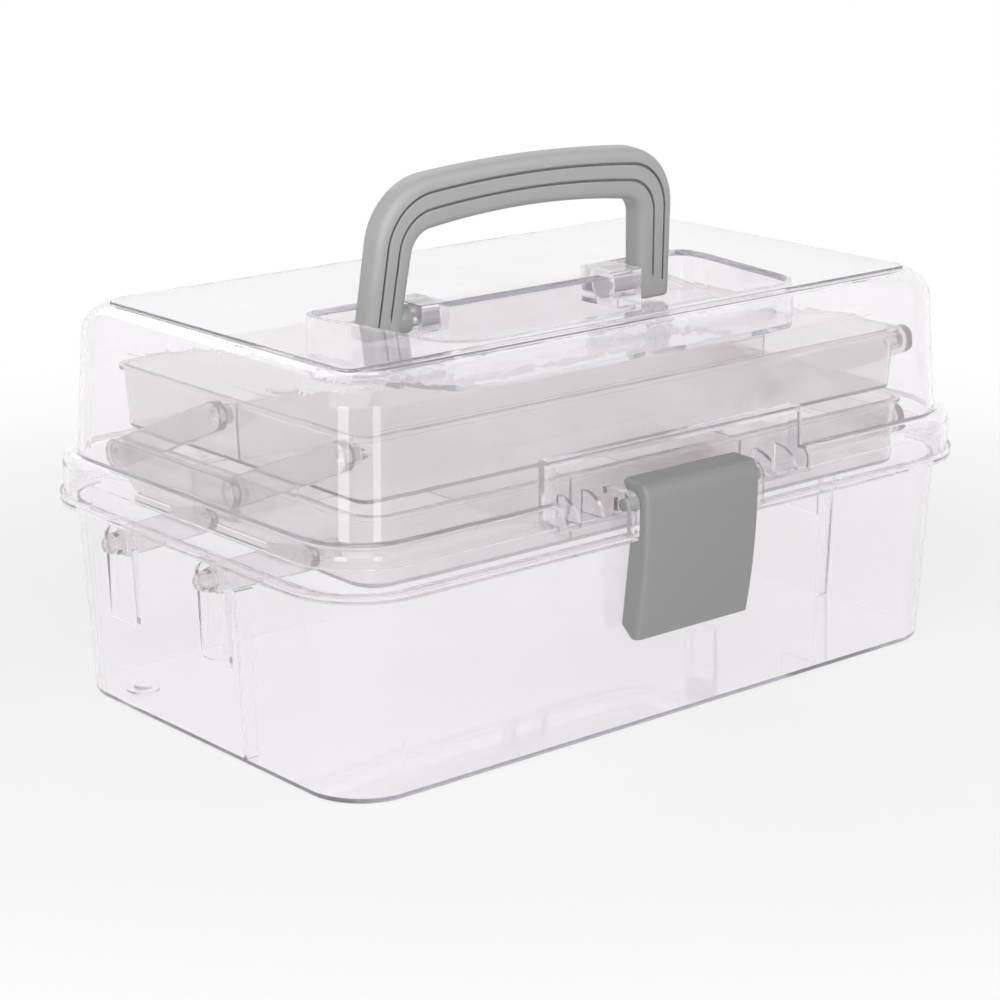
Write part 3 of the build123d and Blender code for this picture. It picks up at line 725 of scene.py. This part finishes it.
@dataclass
class Grip(Assembly):
    """Folding handle: a flat bail with rounded edges, two grooves on each face and two inward pins.

    Lengths are in mm. Places along the bail are in X, and in Z above the pivot.

    Attributes:
        pivot: Depth and height of the pivot's axis.
        lean: How far it leans forward as it stands, in degrees.
        half: Half the length over the heels.
        heel: Leg below the pivot.
        high: Pivot to the top.
        splay: How much further apart the heels are than the shoulders.
        arch: Rise of the grip's arch.
        leg: Width of a leg.
        grip: Height of the grip.
        rounds: Corner radius inside and outside.
        depth: Thickness from face to face.
        edge: Rounding of the long edges.
        foot: Rounding of the feet.
        grooves: Places of the grooves as shares of the width from the inside.
        groove_wide: Width of a groove.
        groove_deep: Depth of a groove.
        groove_slope: Width of the slopes at a groove's rims and floor.
        groove_rim: Share of the depth that the slope at a rim takes.
        groove_start: Height of the grooves' lower ends under the pivot's axis.
        pin: Radius of a pin, and its two ends in X.
        pin_chamfer: Chamfer of a pin's tip.
        leg_steps: Stations along the straight part of a leg.
        bend_steps: Stations round a corner, and from there to the middle of the grip.
        edge_steps: Steps round a long edge.
        foot_steps: Steps round a foot.
    """

    pivot: tuple[float, float] = (0.5, 149.22)
    lean: float = 6.0
    half: float = 78.9
    heel: float = 8.0
    high: float = 58.6
    splay: float = 4.6
    arch: float = 4.6
    leg: float = 16.6
    grip: float = 19.5
    rounds: tuple[float, float] = (9.5, 27.0)
    depth: float = 11.5
    edge: float = 3.4
    foot: float = 2.4
    grooves: tuple[float, float] = (0.40, 0.72)
    groove_wide: float = 1.1
    groove_deep: float = 1.3
    groove_slope: float = 0.15
    groove_rim: float = 0.15
    groove_start: float = 0.3
    pin: tuple[float, float, float] = (5.5, 45.2, 70.6)
    pin_chamfer: float = 0.8
    leg_steps: int = 4
    bend_steps: int = 14
    edge_steps: int = 6
    foot_steps: int = 5

    def build(self) -> None:
        """Models the handle in place of its solid and dresses it."""
        piece = loft("handle_moulding", self._rings())
        for side in (-1, 1):
            unite(piece, self._pin(side))
        self.finish(piece, ("handle", "handle"), GRIP.name, "handle_grey")

    def _line(self, share: float) -> list[tuple[float, float]]:
        """Points of one line along half the bail, from the right heel to the middle of the grip.

        Args:
            share: Place across the bail, from 0 inside to 1 outside.

        Returns:
            X and Z of every station.
        """
        inward = 1 - share
        half = self.half - self.leg * inward
        peak = self.high - self.grip * inward
        bend = peak - self.arch
        shoulder = half - self.splay
        corner = self.rounds[0] + (self.rounds[1] - self.rounds[0]) * share
        # The grip's arch is a circle about a hub far below. The corner touches it and the leg.
        big = (shoulder**2 + self.arch**2) / (2 * self.arch)
        hub = Vector((0, peak - big))
        up = Vector((-self.splay, bend + self.heel)).normalized()
        out = Vector((up.y, -up.x))
        foot = Vector((half, -self.heel))
        start = foot - corner * out - hub
        along = start.dot(up)
        rise = math.sqrt(along**2 - start.length_squared + (big - corner) ** 2) - along
        centre = hub + start + rise * up
        first, last = math.atan2(out.y, out.x), math.atan2(centre.y - hub.y, centre.x)
        steps = self._foot_steps() + spread(self.heel, rise, self.leg_steps)[:-1]
        points = [foot + up * step for step in steps]
        for turn in spread(first, last, self.bend_steps)[:-1]:
            points.append(centre + corner * Vector((math.cos(turn), math.sin(turn))))
        for turn in spread(last, math.pi / 2, self.bend_steps):
            points.append(hub + big * Vector((math.cos(turn), math.sin(turn))))
        return [(p.x, p.y) for p in points]

    def _foot_steps(self) -> list[float]:
        """Lists the stations below the grooves.

        Returns:
            Their distances from the heel.
        """
        turns = spread(0.0, math.pi / 2, self.foot_steps)
        return [self.foot * (1 - math.cos(t)) for t in turns] + [self.heel - self.groove_start]

    def _section(self, width: float, groove: float, draw: float) -> list[tuple[float, float]]:
        """Outline across the bail, as distances from its inner side and from its middle plane.

        Args:
            width: Width of the bail here.
            groove: Depth of the grooves here.
            draw: How far the outline is drawn in here.

        Returns:
            The points of the closed outline.
        """
        face = self.depth / 2 - draw
        radius = self.edge - draw
        turns = spread(0.0, math.pi / 2, self.edge_steps)
        front = [
            (draw + radius * (1 - math.cos(t)), radius * (1 - math.sin(t)) - face) for t in turns
        ]
        for share in self.grooves:
            middle, half, slope = width * share, self.groove_wide / 2, self.groove_slope
            wall = [(half + slope, 0.0), (half, groove * self.groove_rim), (half - slope, groove)]
            front += [(middle - away, deep - face) for away, deep in wall]
            front += [(middle + away, deep - face) for away, deep in reversed(wall)]
        front += [
            (width - draw - radius * (1 - math.sin(t)), radius * (1 - math.cos(t)) - face)
            for t in turns
        ]
        return front + [(across, -deep) for across, deep in reversed(front)]

    def _rings(self) -> list[list[Vector]]:
        """Makes the outlines of all stations, from the right heel over the grip to the left one.

        Returns:
            The outline at every station, point for point, in metres.
        """
        steps = self._foot_steps()
        right = []
        for number, (inner, outer) in enumerate(zip(self._line(0), self._line(1))):
            width = math.dist(inner, outer)
            groove, draw = self.groove_deep, 0.0
            if number < len(steps):
                reach = max(0.0, self.foot - steps[number])
                groove, draw = 0.0, self.foot - math.sqrt(self.foot**2 - reach**2)
            shares = [(across / width, deep) for across, deep in self._section(width, groove, draw)]
            right.append([
                (inner[0] + (outer[0] - inner[0]) * a, deep, inner[1] + (outer[1] - inner[1]) * a)
                for a, deep in shares
            ])
        left = [[(-x, y, z) for x, y, z in ring] for ring in reversed(right[:-1])]
        lean = Matrix.Rotation(math.radians(self.lean), 3, "X")
        base = Vector((0, *self.pivot))
        return [[(base + lean @ Vector(point)) * MM for point in ring] for ring in right + left]

    def _pin(self, side: int) -> bpy.types.Object:
        """Pivot pin with a chamfered tip.

        Args:
            side: -1 for the left leg, 1 for the right one.

        Returns:
            A cylinder that reaches into the leg.
        """
        radius, tip, root = self.pin
        return rod("handle_pin", radius, (side * tip, side * root), self.pivot, self.pin_chamfer)


@dataclass
class Latch(Assembly):
    """Front latch: a curved skin with rounded rims, two cheeks and two pins.

    Lengths are in mm, and places are in Y and Z.

    Attributes:
        half: Half its width.
        top: Height of its top.
        top_fall: How much lower the top is at its front corner than at the back.
        low: Height of its foot.
        front: Foremost place of the skin.
        belly: Height at which the skin's curve passes the foremost place again.
        foot: Place of the skin's face at the foot.
        back: Behind all of it.
        skin: Thickness of the skin.
        cheek: Thickness of a cheek.
        top_round: Radius between skin and top.
        rim: Rounding of the rims at both ends.
        cheek_line: Outline of a cheek from the foot to the top, behind the skin.
        pin: Radius of a pin and how far out its tip is.
        pin_chamfer: Chamfer of a pin's tip.
        boss: Radius of the boss round a pin.
        axis: Place of the pins.
        face_steps: Steps along the skin's face.
        round_steps: Steps round its corner with the top.
        rim_steps: Steps round a rim.
    """

    half: float = 29.1
    top: float = 101.4
    top_fall: float = 0.575
    low: float = 39.8
    front: float = -106.29
    belly: float = 77.2
    foot: float = -101.8
    back: float = -88.0
    skin: float = 2.3
    cheek: float = 2.2
    top_round: float = 6.5
    rim: float = 1.8
    cheek_line: tuple[tuple[float, float], ...] = (
        (-98.7, 39.8),
        (-93.4, 44.4),
        (-95.3, 60.8),
        (-97.3, 77.1),
        (-101.6, 78.3),
        (-102.2, 89.6),
        (-98.8, 91.7),
        (-93.6, 99.1),
    )
    pin: tuple[float, float] = (2.4, 34.5)
    pin_chamfer: float = 0.4
    boss: float = 3.1
    axis: tuple[float, float] = (-98.8, 92.7)
    face_steps: int = 28
    round_steps: int = 9
    rim_steps: int = 5

    def build(self) -> None:
        """Models the latch in place of its solid and dresses it."""
        outer = self._face(0.0)
        # The top slopes down a little to its front corner, and the lip lies on that line.
        lip = self.cheek_line[-1][0]
        start, end = outer[-1], (self.back, self.top)
        share = (lip - start[0]) / (end[0] - start[0])
        lip_top = (lip, start[1] + (end[1] - start[1]) * share)
        outline = [*self.cheek_line, lip_top, *reversed(outer)]
        piece = prism("latch_moulding", outline, self.half)
        self._round_rims(piece)
        behind = self._face(self.skin)
        ceiling, under = self.top - self.skin, self.low - self.skin
        hollow = [*behind, (self.back, ceiling), (self.back, under), (behind[0][0], under)]
        inner = self.half - self.cheek
        carve(piece, prism("latch_hollow", hollow, inner))
        radius, tip = self.pin
        root = self.half - self.cheek / 2
        for side in (-1, 1):
            unite(piece, rod("latch_boss", self.boss, (side * inner, side * self.half), self.axis))
            ends = (side * root, side * tip)
            unite(piece, rod("latch_pin", radius, ends, self.axis, self.pin_chamfer))
        self.finish(piece, ("latch", "latch"), CATCH.name, "handle_grey")

    def _face(self, inset: float) -> list[tuple[float, float]]:
        """Line of the skin's face from the foot, over the belly and round the top's corner.

        Args:
            inset: Distance behind the outer face.

        Returns:
            Y and Z of its points, from the foot up.
        """
        front = self.front + inset
        corner = Vector((front, self.top - inset - self.top_fall))
        foot = Vector((self.foot + inset, self.low))
        # A circle through corner, belly and foot. The first two are equally far forward.
        height = (corner.y + self.belly) / 2
        reach = foot.x - front
        far = ((foot.y - height) ** 2 - (corner.y - height) ** 2 + reach**2) / (2 * reach)
        hub = Vector((front + far, height))
        big = (corner - hub).length
        # The rounding touches that circle from inside and the top's line from below.
        radius = self.top_round - inset
        ahead = (Vector((self.back, self.top - inset)) - corner).normalized()
        under = Vector((ahead.y, -ahead.x))
        start = corner + radius * under - hub
        along = start.dot(ahead)
        slide = -along - math.sqrt(along**2 - start.length_squared + (big - radius) ** 2)
        centre = hub + start + slide * ahead
        low, touch, last = (
            math.atan2(way.y, way.x) % math.tau for way in (foot - hub, centre - hub, -under)
        )
        points = [
            hub + big * Vector((math.cos(t), math.sin(t)))
            for t in spread(low, touch, self.face_steps)
        ]
        points += [
            centre + radius * Vector((math.cos(t), math.sin(t)))
            for t in spread(touch, last, self.round_steps)[1:]
        ]
        return [(p.x, p.y) for p in points]

    def _round_rims(self, piece: bpy.types.Object) -> None:
        """Rounds the rims of the skin and the top at both ends.

        Args:
            piece: The solid latch, before it is hollowed.
        """
        above = (self.top - self.rim / 2) * MM
        half_way = (self.low + self.belly) / 2 * MM

        def on_rim(a: Vector, b: Vector) -> bool:
            """Says whether an edge of an end face belongs to the skin or the top.

            Args:
                a: Place of one of its ends.
                b: Place of the other one.

            Returns:
                True for an edge of the rims.
            """
            middle = (a + b) / 2
            ahead = self.foot if middle.z < half_way else self.front + self.skin
            return abs(a.x - b.x) < SAME_PLACE and (middle.y < ahead * MM or middle.z > above)

        pick_edges(piece, on_rim)
        bpy.ops.object.mode_set(mode="EDIT")
        bpy.ops.mesh.bevel(
            offset=self.rim * MM, segments=self.rim_steps, affect="EDGES", clamp_overlap=False
        )
        bpy.ops.object.mode_set(mode="OBJECT")


@dataclass
class TrayStack(Assembly):
    """Both trays and the arms and bars that carry them."""

    def build(self) -> None:
        """Dresses the trays and their linkage."""
        levels = ("lower", "upper")
        for level in levels:
            self.dress(f"{level}_tray", TRAY.name, "tray_clear")
        arms = [f"{level}_arm_{place}" for level in levels for place in ("back", "front")]
        for part in (*arms, "pivot_bar"):
            for side in ("left", "right"):
                self.dress(f"{part}_{side}", LINK.name, "link_smoke")


@dataclass(frozen=True)
class SoftLamp:
    """Rectangular lamp that faces the case and isn't seen itself.

    Attributes:
        name: Its name.
        place: Its place in mm.
        sides: Its width and height in mm.
        power: Its power in watts.
    """

    name: str
    place: tuple[float, float, float]
    sides: tuple[float, float]
    power: float


LAMPS = (
    SoftLamp("key", (-1500, -1100, 1300), (2200, 2200), 26),
    SoftLamp("fill", (700, -1700, 1100), (2000, 2000), 9),
    SoftLamp("back", (500, 1500, 1300), (1200, 1200), 4),
    # Two tall panels whose reflections run up the dome's near corner.
    SoftLamp("strip_left", (-610, -342, 130), (150, 260), 0.55),
    SoftLamp("strip_front", (-252, -604, 130), (110, 260), 0.35),
)


def background_seen(tree: bpy.types.NodeTree) -> bpy.types.NodeSocket:
    """Makes a factor that is 1 for rays by which the background is seen.

    Args:
        tree: Node tree of the floor or the world.

    Returns:
        A factor of 0 or 1.
    """
    path = add_node(tree, "ShaderNodeLightPath").outputs
    either = add_node(
        tree,
        "ShaderNodeMath",
        links={0: path["Is Camera Ray"], 1: path["Is Glossy Ray"]},
        operation="MAXIMUM",
    ).outputs[0]
    return add_node(
        tree,
        "ShaderNodeMath",
        links={0: either, 1: path["Is Transmission Ray"]},
        operation="MAXIMUM",
    ).outputs[0]


@dataclass
class Studio:
    """White floor and surroundings, soft lamps and the camera.

    Lengths are in mm.

    Attributes:
        eye: Place of the camera.
        aim: Point that it looks at.
        lens: Focal length.
        sensor: Width of the sensor.
        clip: Nearest and furthest distance that it sees.
        lit: Point above the floor that the lamps face.
        floor_half: Half the floor's side.
        floor_gap: Space under the case, so that the two faces don't fight.
        floor_colour: Its colour.
        floor_rough: Its roughness.
        floor_fade: Distances from the middle between which it turns into plain white.
        floor_near: Share of plain white near the case.
        sky: Strength of the light that comes from all round.
        bounces: Faces that a ray may pass or meet. The closed case has some forty of clear plastic.
    """

    eye: tuple[float, float, float] = (-704.3, -816.9, 376.4)
    aim: tuple[float, float, float] = (-5.536, 4.701, 66.78)
    lens: float = 100.298
    sensor: float = 36.0
    clip: tuple[float, float] = (10.0, 100000.0)
    lit: float = 80.0
    floor_half: float = 6000.0
    floor_gap: float = 0.2
    floor_colour: str = "#F4F4F4"
    floor_rough: float = 0.9
    floor_fade: tuple[float, float] = (250.0, 600.0)
    floor_near: float = 0.55
    sky: float = 0.45
    bounces: int = 40

    def build(self) -> None:
        """Makes the camera, the lamps, the floor and the world."""
        self._camera()
        self._world()
        self._floor()
        for lamp in LAMPS:
            self._light(lamp)
        scene = bpy.context.scene
        scene.view_settings.view_transform = "Standard"
        scene.cycles.max_bounces = self.bounces
        scene.cycles.transmission_bounces = self.bounces
        scene.cycles.glossy_bounces = self.bounces
        scene.cycles.transparent_max_bounces = self.bounces

    def _camera(self) -> None:
        """Places the camera as the photograph was taken."""
        data = bpy.data.cameras.new("camera")
        data.lens = self.lens
        data.sensor_width = self.sensor
        data.sensor_fit = "HORIZONTAL"
        data.clip_start, data.clip_end = (distance * MM for distance in self.clip)
        camera = bpy.data.objects.new("camera", data)
        bpy.context.scene.collection.objects.link(camera)
        eye, aim = Vector(self.eye) * MM, Vector(self.aim) * MM
        camera.location = eye
        camera.rotation_mode = "QUATERNION"
        camera.rotation_quaternion = (aim - eye).to_track_quat("-Z", "Y")
        bpy.context.scene.camera = camera

    def _world(self) -> None:
        """Soft light from all round, seen as white."""
        world = bpy.data.worlds.new("studio")
        bpy.context.scene.world = world
        world.use_nodes = True
        tree = world.node_tree
        tree.nodes.clear()
        light = add_node(tree, "ShaderNodeBackground", {"Color": WHITE, "Strength": self.sky})
        white = add_node(tree, "ShaderNodeBackground", {"Color": WHITE, "Strength": 1.0})
        mixed = add_node(
            tree,
            "ShaderNodeMixShader",
            links={0: background_seen(tree), 1: light.outputs[0], 2: white.outputs[0]},
        )
        add_node(tree, "ShaderNodeOutputWorld", links={"Surface": mixed.outputs[0]})

    def _floor(self) -> None:
        """White floor that shows a soft shadow."""
        bpy.ops.object.select_all(action="DESELECT")
        below = (0, 0, -self.floor_gap * MM)
        bpy.ops.mesh.primitive_plane_add(size=2 * self.floor_half * MM, location=below)
        floor = bpy.context.object
        floor.name = "floor"
        material, tree = new_material("matt_white_sweep")
        paint = add_node(
            tree,
            "ShaderNodeBsdfPrincipled",
            {"Base Color": linear(self.floor_colour), "Roughness": self.floor_rough},
        )
        glow = add_node(tree, "ShaderNodeEmission", {"Color": WHITE, "Strength": 1.0})
        # Near the case the floor shows its shadow, and further out it turns into the surroundings.
        reach = add_node(
            tree, "ShaderNodeVectorMath", links={0: object_place(tree)}, operation="LENGTH"
        ).outputs["Value"]
        fade = tuple(distance * MM for distance in self.floor_fade)
        plain = ramp(tree, reach, fade, (self.floor_near, 1.0), interpolation_type="SMOOTHSTEP")
        share = add_node(
            tree, "ShaderNodeMath", links={0: background_seen(tree), 1: plain}, operation="MULTIPLY"
        )
        mixed = add_node(
            tree,
            "ShaderNodeMixShader",
            links={0: share.outputs[0], 1: paint.outputs["BSDF"], 2: glow.outputs[0]},
        )
        set_output(tree, mixed.outputs[0])
        floor.data.materials.append(material)

    def _light(self, lamp: SoftLamp) -> None:
        """Adds one soft lamp.

        Args:
            lamp: What it is and where it stands.
        """
        data = bpy.data.lights.new(lamp.name, "AREA")
        data.shape = "RECTANGLE"
        data.size, data.size_y = (side * MM for side in lamp.sides)
        data.energy = lamp.power
        light = bpy.data.objects.new(lamp.name, data)
        bpy.context.scene.collection.objects.link(light)
        light.location = Vector(lamp.place) * MM
        light.rotation_mode = "QUATERNION"
        aim = Vector((0, 0, self.lit * MM))
        light.rotation_quaternion = (aim - light.location).to_track_quat("-Z", "Y")
        light.visible_camera = False
        light.visible_transmission = False


def main() -> None:
    """Builds the studio and every sub-assembly."""
    logging.basicConfig(level=logging.INFO, format="%(message)s")
    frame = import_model()
    Studio().build()
    finishes = {f.name: f.build() for f in (SHELL, TRAY, LINK, GRIP, CATCH, WIRE)}
    for kind in (CaseShell, Grip, Latch, TrayStack):
        kind(frame["nodes"], finishes).build()


if __name__ == "__main__":
    main()
